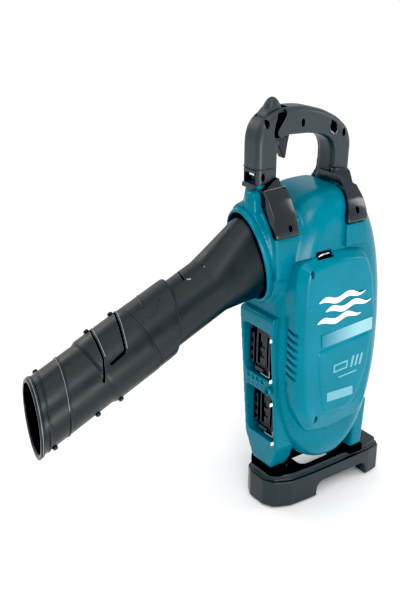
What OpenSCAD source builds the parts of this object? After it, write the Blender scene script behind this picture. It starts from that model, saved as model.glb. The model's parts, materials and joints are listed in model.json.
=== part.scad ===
// Handheld cordless blower: scroll housing, telescoping outlet tube, top handle, two empty battery bays, stand.
// Frame: +Z up, -X towards the nozzle, -Y the motor side, +Y the intake side.
// The origin lies on the ground under the middle of the scroll.

/* [Scroll housing] */
// Height of the motor axis above the ground
axis_z = 206; // [200:1:212]
// Distance of the motor axis behind the origin
axis_x = -16; // [-18:1:-14]
// Scroll reach ahead of the motor axis
scroll_front = 76; // [74:1:78]
// Scroll reach behind the motor axis
scroll_rear = 73; // [72:1:76]
// Scroll reach above the motor axis
scroll_top = 182; // [180:1:184]
// Scroll reach below the motor axis
scroll_bottom = 152; // [148:1:153]
// Half of the housing's depth along Y
half_depth = 50; // [49:0.5:51]
// Wall of the moulded shells
wall = 3; // [2.5:0.1:3.2]
// Radius of the intake eye on the far side
eye_r = 46; // [42:1:47]

/* [Outlet tube] */
// Downward pitch of the tube
tube_pitch = 23.4; // [23:0.1:24]
// Outer radius of the inner pipe
pipe_r = 31; // [30.5:0.1:31]
// Wall of the inner pipe
pipe_wall = 2.5; // [2:0.1:3]
// Sliding gap between pipe and sleeve
slide_gap = 0.3; // [0.3:0.05:0.4]
// Distance of the mouth from the collar along the tube
mouth_t = 283; // [275:1:290]
// Turn of the ring planes about the vertical
ring_yaw = 12; // [8:1:14]

/* [Handle] */
// Height of the grip's top
grip_top = 474; // [473:1:475]
// Thickness of the grip bar
grip_h = 28; // [27:0.5:29]
// Width of the grip along Y
grip_w = 28; // [27:0.5:28]
// Front face of the front leg
leg_x = -112; // [-113:1:-111]
// Width of each leg along X
leg_w = 26; // [25:0.5:27]
// Rear face of the rear leg
handle_rear = 17; // [16:1:18]
// Height of the legs' lower ends
leg_foot_z = 398; // [397:1:399]

/* [Battery bays] */
// Half of the column's width along Y
column_w = 29; // [28.5:0.5:29.5]
// Height of the column's top
column_top = 252; // [250:1:254]
// Height of the column's foot
column_foot = 50; // [49:1:51]
// Height of one bay's opening
bay_h = 62; // [58:1:63]
// Width of a bay's opening
bay_w = 48; // [46:1:49]
// Depth of a bay
bay_d = 24; // [20:1:25]

/* [Stand] */
// Half of the stand's width along Y
stand_w = 36; // [35:0.5:37]
// Height of the side beams
beam_top = 44; // [42:1:45]
// Height of the arch under the side beams
arch_z = 20; // [18:1:22]
// Rear end of the stand
stand_rear = 82; // [80:1:84]
// Front end of the stand
stand_front = -93; // [-94:1:-91]

/* [Motor and impeller] */
// Radius of the motor can
motor_r = 31; // [30:0.5:32]
// Radius of the motor shaft
shaft_r = 4; // [3.5:0.5:4]
// Radius of the impeller
impeller_r = 50; // [46:1:50]

/* [Hidden] */
$fn = 48;
step = 6;
EPS = 0.01;
far = 600;
fit_gap = 0.05;
collar_c = [-111, 0, 320];
collar_tilt = 15;
collar_a = 52;
collar_b = 29;
pipe_in = pipe_r - pipe_wall;
sleeve_in = pipe_r + slide_gap;
sleeve_r = sleeve_in + 2.5;
skirt_in = sleeve_r + slide_gap;
skirt_r = skirt_in + 2.2;
nozzle_in = sleeve_in + 0.6;
nozzle_r = nozzle_in + 2.3;
flare_t = 60;
pipe_end_t = 170;
sleeve_t = 112;
sleeve_end_t = 205;
step_t = 188;
skirt_t = 150;
cover_face = 62;
cover_edge = 10;
trigger_pivot = [-78, 0, 449];
lever_pivot = [-86, 0, 462];
hinge_x = axis_x + eye_r + 14;
grille_y = half_depth + 1;
latch_z = axis_z - eye_r - 14;
shelf_z = column_foot + 112;
neck_screw_x = [-94, 2];

// ---- shared shapes ----

// One quadrant rule of the scroll's outline: a superellipse, squarer above the outlet.
function scroll_power(a) = (a > 90 && a < 180) ? 3.6 : 2.15;
function signed_pow(v, p) = sign(v) * pow(abs(v), p);
function scroll_point(a, inset) = [
    axis_x + ((cos(a) > 0 ? scroll_rear : scroll_front) - inset) * signed_pow(cos(a), 2 / scroll_power(a)),
    axis_z + ((sin(a) > 0 ? scroll_top : scroll_bottom) - inset) * signed_pow(sin(a), 2 / scroll_power(a))];
function scroll_outline(inset) = [for (a = [0 : step : 360 - step]) scroll_point(a, inset)];
function ellipse(a, b) = [for (t = [0 : 10 : 350]) [a * cos(t), b * sin(t)]];

// Draws an XZ outline as a slab of the given Y range.
module slab_y(y0, y1) {
    translate([0, y1, 0]) rotate([90, 0, 0]) linear_extrude(y1 - y0) children();
}

// Draws a YZ outline as a slab of the given X range.
module slab_x(x0, x1) {
    translate([x0, 0, 0]) rotate([90, 0, 90]) linear_extrude(x1 - x0) children();
}

module rounded(r) {
    offset(r, $fn = 24) offset(-r, $fn = 24) children();
}

// Round bar along Y.
module bar_y(p, r, y0, y1) {
    translate([p[0], y1, p[2]]) rotate([90, 0, 0]) cylinder(h = y1 - y0, r = r);
}

// The scroll as a solid, drawn in by inset on every side.
module scroll_solid(inset) {
    hull() for (s = [[0, 30], [4, 17], [12, 7], [22, 2], [30, 0]])
        slab_y(-(half_depth - inset - s[0]), half_depth - inset - s[0]) polygon(scroll_outline(inset + s[1]));
}

// Places children in the tube's frame: +Z along the tube from the collar, +X up.
module along_tube(t = 0) {
    translate(collar_c) rotate([0, -90 - tube_pitch, 0]) translate([0, 0, t]) children();
}

// Space between two near-vertical ring planes that cross the tube's axis at t0 and t1.
module ring_slab(t0, t1) {
    reach = (t1 - t0) * cos(tube_pitch) * cos(ring_yaw);
    translate(collar_c + t1 * [-cos(tube_pitch), 0, -sin(tube_pitch)]) rotate([0, 0, -ring_yaw])
        translate([0, -100, -150]) cube([reach, 200, 300]);
}

module collar_frame() {
    translate(collar_c) rotate([0, -90 - collar_tilt, 0]) children();
}

module half(side) {
    translate([-far / 2, side < 0 ? -far : 0, -far / 2]) cube([far, far, far * 2]);
}

// ---- housing ----

// A neck carries each leg of the handle. It spreads further on the motor side than on the intake side.
front_neck_plan = [[-40, 300], [-40, 342], [-38.5, 354], [-33, 369], [-24, 384], [-13, leg_foot_z + 4],
    [13, leg_foot_z + 4], [30, 338], [30, 300]];
rear_neck_plan = [[-48, 300], [-48, 348], [-45, 359], [-37, 371], [-25, 386], [-13, leg_foot_z + 4],
    [13, leg_foot_z + 4], [46, 338], [46, 300]];
front_neck_side = [[-112, 384], [-112, leg_foot_z - 5.1], [-86, leg_foot_z + 2.9], [-66, 345], [-66, 300], [-104, 300]];
rear_neck_side = [[-9, leg_foot_z + 2.9], [17, leg_foot_z - 3.1], [8, 372], [3, 350], [3, 300], [-16, 300], [-16, 345]];

module neck(side_plan, plan, corner) {
    difference() {
        intersection() {
            slab_x(-far / 2, far / 2) polygon(plan);
            slab_y(-far / 2, far / 2) polygon(side_plan);
        }
        translate(corner) rotate([0, 0, 45]) translate([-40, 0, 0]) cube([80, 40, 60]);
    }
}

// The far front corner of each neck is cut off square to the diagonal.
module necks() {
    neck(front_neck_side, front_neck_plan, [-112, 8, 362]);
    neck(rear_neck_side, rear_neck_plan, [-14, 4, 376]);
}

module throat(inset) {
    hull() {
        collar_frame() translate([0, 0, -16]) linear_extrude(14)
            translate([0, -1.5]) polygon(ellipse(collar_a + 9 - inset, collar_b + 4.5 - inset));
        translate([axis_x - scroll_front + 20, -38 + inset, 262 + inset]) cube([10, 76 - 2 * inset, 108 - 2 * inset]);
    }
}

module rear_leg() {
    slab_x(26, 44) rounded(6) polygon([[-36, column_foot], [36, column_foot], [40, 120], [-40, 120]]);
}

module shell_outer() {
    scroll_solid(0);
    throat(0);
    necks();
    rear_leg();
}

module column_block(gap) {
    slab_y(-column_w - gap, column_w + gap)
        polygon([[-130, column_top + gap], [-130, 20], [-56 + gap, 20], [-56 + gap, column_top + gap]]);
}

module outlet_way() {
    hull() {
        collar_frame() translate([0, 0, -30]) linear_extrude(40) polygon(ellipse(collar_a, collar_b));
        translate([-60, -28, 272]) cube([4, 56, 90]);
    }
}

// Louvre slots in the rounded front edge beside the bays.
module louvres() {
    for (i = [0 : 6]) translate([-92, -46, 190 + 9.5 * i]) rotate([0, 12, 38]) cube([34, 40, 4.2], center = true);
}

module housing_half(side) {
    difference() {
        intersection() {
            shell_outer();
            half(side);
        }
        scroll_solid(wall);
        column_block(0.2);
        outlet_way();
        collar_frame() translate([0, -1.2, -14]) linear_extrude(60) polygon(ellipse(collar_a + 5, collar_b + 2.8));
        slab_x(26 + wall, 44 - wall) polygon([[-33, column_foot + 4], [33, column_foot + 4], [34, 110], [-34, 110]]);
        for (x = neck_screw_x) bar_y([x, 0, leg_foot_z - 14], 2, -16, 16);
        strap_screw_bars();
        children();
    }
}

module housing_left() {
    color("teal") union() {
        housing_half(-1) {
            louvres();
            translate([axis_x, 0, axis_z]) rotate([90, 0, 0]) cylinder(h = 80, r = motor_r - 4);
            translate([-60, -half_depth - 8, 319]) cube([30, 16, 14]);
            cover_screw_bores();
        }
    }
}

module housing_right() {
    color("teal") union() {
        housing_half(1) {
            bar_y([axis_x, 0, axis_z], eye_r, 20, 80);
        }
        intake_flange();
        hinge_lugs();
    }
}

// Flat seat for the grille round the eye and under the latch.
module intake_flange() {
    difference() {
        union() {
            bar_y([axis_x, 0, axis_z], eye_r + 9, half_depth - 14, half_depth);
            bar_y([axis_x, 0, latch_z], 11, half_depth - 4, half_depth);
        }
        bar_y([axis_x, 0, axis_z], eye_r, 20, 80);
        scroll_solid(wall);
    }
}

module hinge_lugs() {
    for (z = [axis_z - 24, axis_z + 16]) difference() {
        slab_z(z, z + 8) rounded(2) polygon([[hinge_x - 6, half_depth - 12], [hinge_x + 6, half_depth - 14],
            [hinge_x + 5, half_depth + 10], [hinge_x - 5, half_depth + 10]]);
        translate([hinge_x, half_depth + 5, z - 1]) cylinder(h = 10, r = 2);
    }
}

module slab_z(z0, z1) {
    translate([0, 0, z0]) linear_extrude(z1 - z0) children();
}

module outlet_collar() {
    color("teal") difference() {
        collar_frame() translate([0, -1.2, -14]) linear_extrude(16) polygon(ellipse(collar_a + 5, collar_b + 2.8));
        collar_frame() translate([0, 0, -15]) linear_extrude(30) polygon(ellipse(collar_a, collar_b));
        pipe_flare(0);
    }
}

// ---- battery column ----

column_side = [[-99, column_top - 3], [-96, column_top], [-70, column_top], [-70, 168], [-58, 164], [-58, 66],
    [-66, column_foot], [-81, column_foot], [-85, column_foot + 4]];
column_front = [[-column_w, column_foot + 30], [-column_w + 14, column_foot], [column_w - 14, column_foot],
    [column_w, column_foot + 30], [column_w, column_top], [-column_w, column_top]];

// Lower edge and back plane of the upper and the lower bay; the column's front leans back towards its foot.
bays = [[shelf_z + 9, -98 + bay_d], [shelf_z - 9 - bay_h, -90 + bay_d]];

module bay_cut(bay) {
    slab_x(-130, bay[1]) rounded(5) translate([-bay_w / 2, bay[0]]) square([bay_w, bay_h]);
}

module battery_holder() {
    color("teal") difference() {
        intersection() {
            slab_y(-column_w, column_w) polygon(column_side);
            slab_x(-130, -40) rounded(8) polygon(column_front);
        }
        for (bay = bays) bay_cut(bay);
        translate([-100, -column_w + 7, shelf_z]) rotate([0, 90, 0]) cylinder(h = 30, r = 2.5);
    }
}

module terminal_block(bay) {
    difference() {
        union() {
            translate([bay[1] - 9, -20, bay[0] + 4]) cube([8.8, 40, bay_h - 8]);
            for (s = [-1, 1]) translate([bay[1] - 14, s * 18 - 2, bay[0] + 6]) cube([5.2, 4, bay_h - 14]);
        }
        for (s = [-1, 1]) translate([bay[1] - 10, s * 9 - 2, bay[0] + 8]) cube([7, 4, bay_h - 22]);
    }
}

module terminal_block_upper() {
    color("black") terminal_block(bays[0]);
}

module terminal_block_lower() {
    color("black") terminal_block(bays[1]);
}

module terminal_blades() {
    color("gold") for (bay = bays, s = [-1, 1])
        translate([bay[1] - 9, s * 9 - 0.5, bay[0] + 10]) cube([6, 1, bay_h - 28]);
}

// ---- motor cover ----

cover_plan = [[-87, 300], [-83, 319], [-32, 325], [10, 319], [22, 290], [30, 240], [31, 180], [22, 128],
    [12, 112], [-30, 106], [-64, 112], [-82, 140], [-87, 240]];

module cover_outer(inset) {
    hull() {
        slab_y(-cover_face + inset, -half_depth) offset(delta = -cover_edge - inset) polygon(cover_plan);
        slab_y(-cover_face + 3 + inset, -half_depth) offset(delta = -4 - inset) polygon(cover_plan);
        slab_y(-cover_face + 12, -28) offset(delta = -inset) polygon(cover_plan);
    }
}

module motor_cover() {
    color("teal") difference() {
        cover_outer(0);
        scroll_solid(0);
        intersection() {
            cover_outer(wall);
            half_space_y(-half_depth - EPS);
        }
        for (p = cover_screw_places) bar_y(p, 3.4, -far, -cover_face + 4);
        cover_screw_bores();
        louvres();
        throat(0);
        necks();
        rear_leg();
        column_block(0.2);
        translate([-60, -far, 319]) cube([30, far, 20]);
    }
}

module half_space_y(y) {
    translate([-far / 2, y - far, 0]) cube([far, far, far]);
}

cover_screw_places = [[-74, 0, 303], [-60, 0, 130]];

module screw_y(p, y, r, h) {
    difference() {
        union() {
            bar_y(p, r, y, y + 2.5);
            bar_y(p, r * 0.5, y + 2.5, y + h);
        }
        bar_y(p, r * 0.45, y - 1, y + 1.5, $fn = 6);
    }
}

module cover_screw_bores() {
    for (p = cover_screw_places) bar_y(p, 1.5, -far, -half_depth + 4);
}

module cover_screws() {
    color("dimgray") for (p = cover_screw_places) screw_y(p, -cover_face + 1.5, 3, 13);
}

module strap_loop() {
    color("silver") {
        translate([-60, -half_depth + 1, 326]) rotate([0, 90, 0]) cylinder(h = 30, r = 1.6);
    }
}

// ---- outlet tube ----

module pipe_flare(inset) {
    hull() {
        along_tube(flare_t) cylinder(h = 0.1 + inset, r = pipe_r + 1 - inset, $fn = 36);
        collar_frame() translate([0, 0, -12 - inset]) linear_extrude(10)
            polygon(ellipse(collar_a - 0.3 - inset, collar_b - 0.3 - inset));
    }
}

module outlet_pipe() {
    color("dimgray") {
        difference() {
            pipe_flare(0);
            pipe_flare(pipe_wall);
            along_tube(flare_t - 12) cylinder(h = 20, r = pipe_in);
        }
        along_tube(flare_t - 2) difference() {
            cylinder(h = pipe_end_t - flare_t + 2, r = pipe_r);
            translate([0, 0, -1]) cylinder(h = pipe_end_t, r = pipe_in);
        }
    }
}

module tube_part(t0, t1, r_out, r_in) {
    intersection() {
        along_tube(t0 - 40) difference() {
            cylinder(h = t1 - t0 + 80, r = r_out);
            translate([0, 0, -1]) cylinder(h = t1 - t0 + 82, r = r_in);
        }
        ring_slab(t0, t1);
    }
}

module telescopic_sleeve() {
    color("dimgray") {
        intersection() {
            tube_part(sleeve_t, sleeve_end_t, sleeve_r, sleeve_in);
            cylinder_on_tube(0, step_t - 3, far);
        }
        intersection() {
            along_tube(skirt_t + 14) rotate([0, 0, -35]) translate([sleeve_r - 0.5, -1.6, 0]) cube([1.8, 3.2, 3.2]);
            half(-1);
        }
    }
}

// Ribs round the nozzle and the grooves between them.
rib_list = [154, 172, 192, 212, 244, 258, 271];
lug_list = [[157, 33], [187, 33], [250, 40], [200, 223], [227, 223], [274, 223]];

module nozzle_slot() {
    along_tube(skirt_t + 13) intersection() {
        rotate([0, 0, -90]) rotate_extrude(angle = 60) translate([skirt_in - 1, 0]) square([8, 5.2]);
        cylinder(h = 6, r = skirt_r + 4);
    }
    along_tube(skirt_t + 13) rotate([0, 0, -88]) translate([skirt_in - 1, 0, 0]) cube([8, 5, 22]);
}

module cylinder_on_tube(t0, t1, r) {
    along_tube(t0) cylinder(h = t1 - t0, r = r);
}

function outer_r(t) = t < sleeve_end_t ? skirt_r : nozzle_r;

module front_nozzle() {
    color("dimgray") difference() {
        union() {
            tube_part(skirt_t, sleeve_end_t + 2, skirt_r, nozzle_in);
            tube_part(sleeve_end_t, mouth_t, nozzle_r, nozzle_in);
            for (t = rib_list) tube_part(t, t + 2.5, outer_r(t) + 0.9, nozzle_in);
            tube_part(mouth_t - 6, mouth_t, nozzle_r + 1.8, nozzle_in);
            for (lug = lug_list) along_tube(lug[0]) rotate([0, 0, lug[1]])
                translate([(lug[0] < 230 ? skirt_r : nozzle_r) - 1, -4, 0]) cube([3.2, 8, 5]);
        }
        cylinder_on_tube(skirt_t - 40, step_t, skirt_in);
        nozzle_slot();
    }
}

// ---- handle ----

handle_plan = [[leg_x, leg_foot_z - 5], [leg_x, 446], [leg_x + 6, 461], [leg_x + 17, 470], [leg_x + 32, grip_top],
    [-48, grip_top], [-26, grip_top - 6], [-4, grip_top - 16], [11, 445], [handle_rear, 430],
    [handle_rear, leg_foot_z - 3], [handle_rear - leg_w, leg_foot_z + 3], [handle_rear - leg_w, 426], [-14, 435],
    [-24, 441], [-40, 444], [-76, grip_top - grip_h], [leg_x + leg_w, 438], [leg_x + leg_w, leg_foot_z + 3]];

module handle_bar(inset) {
    for (s = [[0, 5], [1.6, 2.2], [4.4, 0]])
        slab_y(-(grip_w / 2 - inset - s[0]), grip_w / 2 - inset - s[0])
            offset(delta = -inset - s[1]) polygon(handle_plan);
}

module handle_half(side) {
    difference() {
        intersection() {
            handle_bar(0);
            half(side);
        }
        slab_y(-grip_w / 2 + wall, grip_w / 2 - wall) offset(delta = -wall - 1) polygon(handle_plan);
        trigger_slot();
        lever_slot();
        slab_y(-far, far) rounded(1.5) polygon([[-16, 441], [-9, 438], [-7, 450], [-14, 453]]);
        translate([leg_x - 1, -8, leg_foot_z + 4]) cube([8, 16, 14]);
        bar_y(trigger_pivot, 2, -8, 8);
        bar_y(lever_pivot, 2, -9, 9);
        for (p = handle_screw_places) {
            bar_y(p, 1.6, -far, far);
            bar_y(p, 3.2, -far, -grip_w / 2 + 3);
        }
    }
}

handle_screw_places = [[-101, 0, 452], [-55, 0, 457], [-105, 0, 408], [8, 0, 416]];

module trigger_slot() {
    slab_y(-6, 6) polygon([[-87, 425], [-87, 462], [-56, 462], [-56, 425]]);
}

module lever_slot() {
    slab_y(-8, 8) polygon([[-104, 453], [-104, 500], [-65, 500], [-65, 453]]);
}

module handle_left() {
    color("dimgray") handle_half(-1);
}

module handle_right() {
    color("dimgray") handle_half(1);
}

module handle_screws() {
    color("dimgray") for (p = handle_screw_places) screw_y(p, -grip_w / 2 + 0.5, 3, 18);
}

module trigger() {
    color("black") difference() {
        slab_y(-5, 5) rounded(1.2)
            polygon([[-83, 454], [-84, 440], [-77, 430], [-69, 419], [-67, 421], [-68, 442], [-70, 454]]);
        bar_y(trigger_pivot, 2.05, -8, 8);
    }
}

module trigger_pin() {
    color("silver") bar_y(trigger_pivot, 2, -8, 8);
}

module trigger_spring() {
    color("silver") translate([trigger_pivot[0] + 6.8, 0, 454.6]) difference() {
        cylinder(h = 5, r = 2.4);
        translate([0, 0, -1]) cylinder(h = 7, r = 1.8);
    }
}

module trigger_switch() {
    color("black") translate([-65, -5, 449]) cube([8.5, 10, 12]);
}

module speed_lever() {
    color("dimgray") difference() {
        union() {
            intersection() {
                bar_y(lever_pivot, 21, -7, 7);
                translate([lever_pivot[0], 0, 460]) cylinder(h = 30, r = 12);
            }
            bar_y(lever_pivot, 6, -7, 7);
        }
        bar_y(lever_pivot, 2.05, -9, 9);
    }
}

module lever_pin() {
    color("silver") bar_y(lever_pivot, 2, -9, 9);
}

module lever_sensor() {
    color("black") translate([-101, -7, 437]) cube([10, 14, 9]);
}

// ---- straps ----

// The two limbs of each strap lean on the neck's slopes, from the leg down to their lower ends.
front_strap_plan = [
    [[-13.1, leg_foot_z + 12], [-17.5, leg_foot_z + 12], [-18.5, leg_foot_z + 4], [-28, 388], [-37, 373],
        [-42.5, 357], [-44, 344], [-13.1, 344]],
    [[13.1, leg_foot_z + 12], [17.5, leg_foot_z + 12], [18.5, leg_foot_z + 4], [33, 345], [13.1, 345]]];
rear_strap_plan = [
    [[-13.1, leg_foot_z + 12], [-17.5, leg_foot_z + 12], [-18.5, leg_foot_z + 4], [-30, 389], [-41, 375],
        [-49, 363], [-53, 350], [-53, 342], [-13.1, 342]],
    [[13.1, leg_foot_z + 12], [17.5, leg_foot_z + 12], [18.5, leg_foot_z + 4], [44, 352], [13.1, 352]]];
front_strap_side = [
    [[-111, leg_foot_z - 3], [-87, leg_foot_z + 8], [-84, 385], [-82, 370], [-81, 343], [-105, 340], [-107, 356], [-111, 384]],
    [[-101, leg_foot_z + 2], [-87, leg_foot_z + 8], [-84, 385], [-84, 362], [-93, 362], [-97, 384]]];
rear_strap_side = [
    [[-11, leg_foot_z + 6], [10, leg_foot_z + 2], [6, 389], [3.5, 370], [2.5, 343], [-20, 341], [-21.5, 352], [-20, 366],
        [-16, 380]],
    [[0, leg_foot_z + 6], [10, leg_foot_z + 2], [6, 389], [4, 372], [-5, 372], [-3, 389]]];

module strap(sides, limbs) {
    difference() {
        for (i = [0, 1]) intersection() {
            slab_x(-far / 2, far / 2) polygon(limbs[i]);
            slab_y(-far / 2, far / 2) rounded(2) polygon(sides[i]);
        }
        necks();
        handle_bar(-0.1);
        scroll_solid(0);
        throat(0);
        strap_screw_bars();
    }
}

module front_strap() {
    color("black") strap(front_strap_side, front_strap_plan);
}

module rear_strap() {
    color("black") strap(rear_strap_side, rear_strap_plan);
}

strap_screw_places = [[-98, -26, 384], [-92, -42, 352], [-9, -51, 353], [-91, 22, 384], [1, 26, 384]];

// Each screw stands square on its strap's slope.
module strap_screw_bars() {
    for (p = strap_screw_places)
        translate(p) rotate([-sign(p[1]) * 62, 0, 0]) translate([0, 0, -4]) cylinder(h = 7, r = 2.6);
}

module strap_screws() {
    color("dimgray") strap_screw_bars();
}

// ---- stand ----

stand_plan = [[stand_front + 2, -12], [stand_front + 9, -25], [stand_front + 28, -stand_w + 2], [-34, -stand_w],
    [60, -stand_w], [stand_rear - 4, -stand_w + 3], [stand_rear, -stand_w + 10], [stand_rear, stand_w - 10],
    [stand_rear - 4, stand_w - 3], [60, stand_w], [-34, stand_w], [stand_front + 28, stand_w - 2],
    [stand_front + 9, 25], [stand_front + 2, 12]];

module stand() {
    color("dimgray") difference() {
        union() {
            slab_z(2, beam_top - 8) polygon(stand_plan);
            slab_z(beam_top - 8 - EPS, beam_top) offset(delta = -4) polygon(stand_plan);
            slab_z(beam_top - EPS, column_foot) rounded(4) polygon([[-80, -18], [-56, -18], [-56, 18], [-80, 18]]);
            slab_z(beam_top - EPS, column_foot) rounded(4) polygon([[26, -32], [42, -32], [42, 32], [26, 32]]);
        }
        slab_y(-far, far) rounded(8) polygon([[-30, -30], [-24, arch_z], [54, arch_z], [60, -30]]);
        slab_z(-1, far) rounded(8) polygon([[-40, -22], [26, -22], [26, 22], [-40, 22]]);
        for (p = stand_screw_places) translate([p[0], p[1], -1]) {
            cylinder(h = far, r = 2.2);
            cylinder(h = 30, r = 4.5);
        }
        for (p = pad_places) translate([p[0], p[1], -1]) cylinder(h = 5, r = 6);
    }
}

stand_screw_places = [[-68, 0], [35, -27], [35, 27]];
pad_places = [[-70, -18], [-70, 18], [71, -24], [71, 24]];

module stand_pads() {
    color("black") for (p = pad_places) translate([p[0], p[1], 0]) cylinder(h = 4, r = 6);
}

module stand_screws() {
    color("silver") for (p = stand_screw_places) translate([p[0], p[1], 25]) {
        cylinder(h = 4, r = 4);
        cylinder(h = 24, r = 2.1);
    }
}

// ---- intake grille ----

module intake_grille() {
    color("black") difference() {
        union() {
            translate([axis_x, grille_y + 6, axis_z]) rotate([90, 0, 0]) difference() {
                cylinder(h = 6, r = eye_r + 8);
                translate([0, 0, -1]) cylinder(h = 8, r = eye_r);
            }
            for (r = [10 : 9 : eye_r - 6]) translate([axis_x, grille_y + 5, axis_z]) rotate([90, 0, 0]) difference() {
                cylinder(h = 3, r = r + 1.2);
                translate([0, 0, -1]) cylinder(h = 5, r = r - 1.2);
            }
            for (a = [0 : 30 : 150]) translate([axis_x, grille_y + 3.5, axis_z]) rotate([0, a, 0])
                cube([2 * eye_r + 4, 3, 2.4], center = true);
            translate([hinge_x - 8, grille_y + 0.6, axis_z - 14]) cube([8, 5, 28]);
            translate([hinge_x, half_depth + 5, axis_z - 14]) cylinder(h = 28, r = 4);
            translate([axis_x - 9, grille_y, latch_z - 7]) cube([18, 6, 14]);
        }
        translate([hinge_x, half_depth + 5, axis_z - 20]) cylinder(h = 40, r = 2.05);
        bar_y([axis_x, 0, latch_z], 3.3, 0, far);
    }
}

module grille_hinge_pin() {
    color("silver") translate([hinge_x, half_depth + 5, axis_z - 24]) cylinder(h = 48, r = 2);
}

module latch_knob() {
    color("black") {
        bar_y([axis_x, 0, latch_z], 3, grille_y - 0.7, grille_y + 7);
        bar_y([axis_x, 0, latch_z], 8, grille_y + 6.3, grille_y + 11);
        translate([axis_x - 2, grille_y + 10, latch_z - 7]) cube([4, 5, 14]);
    }
}

// ---- motor and impeller ----

module turned_y(y0, y1, r_out, r_in) {
    difference() {
        bar_y([axis_x, 0, axis_z], r_out, y0, y1);
        bar_y([axis_x, 0, axis_z], r_in, y0 - 1, y1 + 1);
    }
}

module motor_can() {
    color("silver") {
        turned_y(-47, -13, motor_r, motor_r - 2.4);
        turned_y(-47, -44, motor_r - 2, 9);
        turned_y(-16, -13, motor_r - 2, 9);
        turned_y(-46, -38, 11.5, 9);
        turned_y(-20, -13, 11.5, 9);
    }
}

module motor_stator() {
    color("peru") difference() {
        turned_y(-37, -21, motor_r - 2.4, 16.5);
        for (i = [0 : 11]) translate([axis_x, -29, axis_z]) rotate([0, 30 * i, 0])
            translate([21, 0, 0]) cube([6, 20, 4], center = true);
    }
}

module bearing(y0) {
    color("silver") turned_y(y0, y0 + 6, 9, shaft_r + fit_gap);
}

module bearing_inner() {
    bearing(-46);
}

module bearing_outer() {
    bearing(-19);
}

module motor_shaft() {
    color("silver") bar_y([axis_x, 0, axis_z], shaft_r, -46, 38);
}

module motor_rotor() {
    color("dimgray") turned_y(-37, -21, 16, shaft_r);
}

module impeller() {
    color("white") {
        turned_y(-9, -6, impeller_r, shaft_r);
        turned_y(-6, 28, 10, shaft_r);
        turned_y(25, 28, impeller_r, 36);
        for (i = [0 : 8]) translate([axis_x, 0, axis_z]) rotate([0, 40 * i, 0])
            translate([29, 9.5, 6]) rotate([0, 24, 0]) cube([40, 31.2, 2], center = true);
    }
}

module impeller_nut() {
    color("silver") difference() {
        bar_y([axis_x, 0, axis_z], 7, 28, 34, $fn = 6);
        bar_y([axis_x, 0, axis_z], shaft_r, 20, 40);
    }
}

module controller_board() {
    color("green") {
        translate([-50, -57, 140]) cube([60, 1.6, 40]);
        translate([-42, -55.4, 146]) cube([18, 4, 26]);
        translate([-16, -55.4, 146]) cube([16, 4, 26]);
    }
}

module seal_ring() {
    color("black") turned_y(grille_y - 0.9, grille_y - 0.1, eye_r + 5, eye_r + 2);
}

module housing_screws() {
    color("silver") for (x = neck_screw_x) bar_y([x, 0, leg_foot_z - 14], 1.95, -15, 15);
}

housing_left();
housing_right();
outlet_collar();
battery_holder();
motor_cover();
outlet_pipe();
telescopic_sleeve();
front_nozzle();
handle_left();
handle_right();
front_strap();
rear_strap();
trigger();
trigger_pin();
trigger_spring();
trigger_switch();
speed_lever();
lever_pin();
lever_sensor();
terminal_block_upper();
terminal_block_lower();
terminal_blades();
stand();
stand_pads();
strap_loop();
intake_grille();
grille_hinge_pin();
latch_knob();
motor_can();
motor_stator();
motor_shaft();
motor_rotor();
bearing_inner();
bearing_outer();
impeller();
impeller_nut();
controller_board();
seal_ring();
cover_screws();
handle_screws();
strap_screws();
stand_screws();
housing_screws();
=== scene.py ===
"""Handheld cordless blower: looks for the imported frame.

Sizes are in millimetres, except in the stage and in materials, where they are in metres.
"""

import json
import math

import bmesh
import bpy
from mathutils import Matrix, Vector


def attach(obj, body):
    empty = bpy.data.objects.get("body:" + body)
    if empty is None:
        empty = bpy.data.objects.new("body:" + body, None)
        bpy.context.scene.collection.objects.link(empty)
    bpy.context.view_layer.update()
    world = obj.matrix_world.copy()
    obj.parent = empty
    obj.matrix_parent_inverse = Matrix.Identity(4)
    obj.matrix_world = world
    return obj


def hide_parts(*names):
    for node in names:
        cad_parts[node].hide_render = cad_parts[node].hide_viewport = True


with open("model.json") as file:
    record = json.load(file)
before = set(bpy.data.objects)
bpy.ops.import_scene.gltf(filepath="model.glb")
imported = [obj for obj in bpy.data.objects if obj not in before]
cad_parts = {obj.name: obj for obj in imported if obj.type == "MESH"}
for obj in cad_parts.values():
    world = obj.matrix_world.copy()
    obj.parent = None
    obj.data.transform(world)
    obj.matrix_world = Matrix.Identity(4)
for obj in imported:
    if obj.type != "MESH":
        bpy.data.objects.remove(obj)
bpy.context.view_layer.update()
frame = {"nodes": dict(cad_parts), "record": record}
NODES = frame["nodes"]
MM = 0.001
TURN = 2 * math.pi
FINE = 1.0


# ---- mesh helpers ----


def mesh_object(name, solids, smooth=True):
    """One object from a list of (vertices in mm, faces) solids."""
    verts, faces = [], []
    for v, f in solids:
        base = len(verts)
        verts += [tuple(c * MM for c in p) for p in v]
        faces += [[i + base for i in face] for face in f]
    mesh = bpy.data.meshes.new(name)
    mesh.from_pydata(verts, [], faces)
    bm = bmesh.new()
    bm.from_mesh(mesh)
    bmesh.ops.recalc_face_normals(bm, faces=bm.faces)
    bm.to_mesh(mesh)
    bm.free()
    obj = bpy.data.objects.new(name, mesh)
    bpy.context.scene.collection.objects.link(obj)
    if smooth:
        for p in mesh.polygons:
            p.use_smooth = True
    return obj


def at_axis(axis, a, b, h):
    """A point from plan coordinates (a, b) at height h along the named axis."""
    return {"x": (h, a, b), "y": (a, h, b), "z": (a, b, h)}[axis]


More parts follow.
